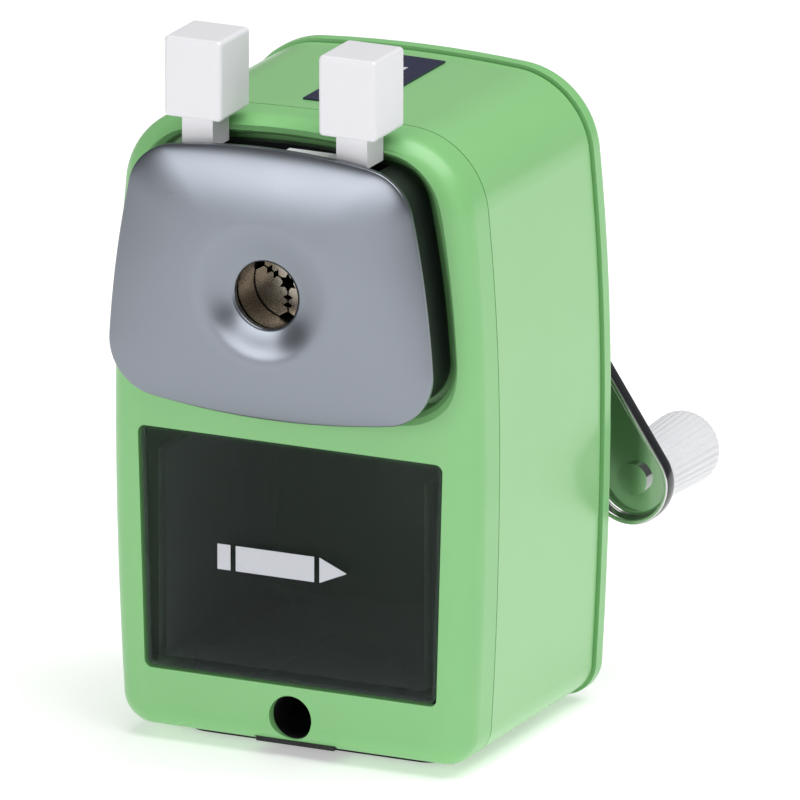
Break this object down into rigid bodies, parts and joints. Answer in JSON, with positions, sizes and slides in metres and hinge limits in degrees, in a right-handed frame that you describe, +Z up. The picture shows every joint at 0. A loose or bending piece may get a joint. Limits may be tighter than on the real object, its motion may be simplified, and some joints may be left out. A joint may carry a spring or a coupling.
{
  "type": "crank pencil sharpener",
  "caption": "Desk pencil sharpener with a rear crank, a planetary helical cutter, a pull-out self-feeding chuck with pinch levers, and a see-through shavings drawer.",
  "frame": {"origin": "on the table, under the middle of the casing's footprint", "axes": "+Z up, -Y towards the user and the pencil, +X to the right seen from the front; the crank turns about a line along Y, 87 mm up"},
  "size_m": [0.0809, 0.0978, 0.1309],
  "materials": {
    "green_enamel": "satin gloss enamel",
    "green_plastic": "gloss",
    "satin_chrome": "satin",
    "nickel": "nickel plated",
    "steel": "bright",
    "tool_steel": "milled",
    "screw_steel": "zinc plated",
    "black_plastic": "fine matt",
    "white_plastic": "gloss",
    "smoked_plastic": "clear smoked",
    "black_enamel": "gloss",
    "die_cast_zinc": "as cast",
    "bronze": "sintered",
    "gear_nylon": "moulded",
    "rubber": "matt",
    "navy_label": "printed film"
  },
  "bodies": {
    "housing": {"front_fascia": "green_plastic", "side_wrap": "green_enamel", "rear_cover": "green_plastic", "rear_cover_screws": "screw_steel", "base_plate": "steel", "base_screws": "screw_steel", "foot_ring": "rubber", "top_label": "navy_label", "clamp_socket": "die_cast_zinc", "clamp_socket_screws": "screw_steel", "drawer_rails": "black_plastic", "mechanism_bracket": "steel", "bracket_screws": "screw_steel", "ring_gear": "gear_nylon", "ring_gear_screws": "screw_steel", "carrier_bush": "bronze", "pencil_guide": "black_plastic", "rod_bushes": "bronze", "shaft_bush": "bronze", "return_springs": "steel"},
    "drawer": {"shavings_drawer": "smoked_plastic"},
    "chuck": {"chuck_faceplate": "satin_chrome", "chuck_housing": "black_plastic", "chuck_screws": "screw_steel", "nose_sleeve": "nickel", "guide_rods": "steel", "rod_screws": "screw_steel", "rod_clips": "steel", "lever_spring": "steel"},
    "left_lever": {"left_lever_plate": "steel", "left_lever_button": "white_plastic"},
    "right_lever": {"right_lever_plate": "steel", "right_lever_button": "white_plastic"},
    "top_jaw": {"jaw_top": "nickel"},
    "left_jaw": {"jaw_left": "nickel"},
    "right_jaw": {"jaw_right": "nickel"},
    "crank": {"cutter_carrier": "die_cast_zinc", "cutter_pin": "steel", "crank_shaft": "steel", "crank_arm": "black_enamel", "crank_washer": "steel", "crank_nut": "steel", "knob_rivet": "steel"},
    "cutter": {"helical_cutter": "tool_steel", "cutter_pinion": "tool_steel"},
    "knob": {"crank_knob": "white_plastic"}
  },
  "joints": [
    {"name": "chuck_pull", "type": "slide", "parent": "housing", "child": "chuck", "axis": [0, -1, 0], "range_m": [0, 0.024], "stiffness_N_per_m": 120, "springref_m": -0.02, "deforming": ["return_springs"]},
    {"name": "left_pinch", "type": "hinge", "parent": "chuck", "child": "left_lever", "pos_m": [0, -0.03, 0.087], "axis": [0, 1, 0], "range_deg": [0, 9], "stiffness_Nm_per_rad": 0.3, "springref_deg": -14.32, "deforming": ["lever_spring"]},
    {"name": "right_pinch", "type": "hinge", "parent": "chuck", "child": "right_lever", "pos_m": [0, -0.0315, 0.087], "axis": [0, 1, 0], "range_deg": [-9, 0]},
    {"name": "drawer_slide", "type": "slide", "parent": "housing", "child": "drawer", "axis": [0, -1, 0], "range_m": [0, 0.045]},
    {"name": "crank_turn", "type": "hinge", "parent": "housing", "child": "crank", "pos_m": [0, 0, 0.087], "axis": [0, 1, 0], "continuous": true},
    {"name": "cutter_spin", "type": "hinge", "parent": "crank", "child": "cutter", "pos_m": [0, 0.05069, 0.087], "axis": [0, 0.9823, -0.1874], "continuous": true},
    {"name": "knob_spin", "type": "hinge", "parent": "crank", "child": "knob", "pos_m": [0.03685, 0.047, 0.03915], "axis": [0, 1, 0], "continuous": true},
    {"name": "top_jaw_slide", "type": "slide", "parent": "chuck", "child": "top_jaw", "axis": [0, 0, 1], "range_m": [0, 0.0034]},
    {"name": "left_jaw_slide", "type": "slide", "parent": "chuck", "child": "left_jaw", "axis": [-0.866, 0, -0.5], "range_m": [0, 0.0034]},
    {"name": "right_jaw_slide", "type": "slide", "parent": "chuck", "child": "right_jaw", "axis": [0.866, 0, -0.5], "range_m": [0, 0.0034]}
  ],
  "couplings": [
    {"joint": "right_pinch", "follows": "left_pinch", "ratio": -1},
    {"joint": "cutter_spin", "follows": "crank_turn", "ratio": -3},
    {"joint": "top_jaw_slide", "follows": "left_pinch", "m_per_rad": 0.02164},
    {"joint": "left_jaw_slide", "follows": "left_pinch", "m_per_rad": 0.02164},
    {"joint": "right_jaw_slide", "follows": "left_pinch", "m_per_rad": 0.02164}
  ]
}
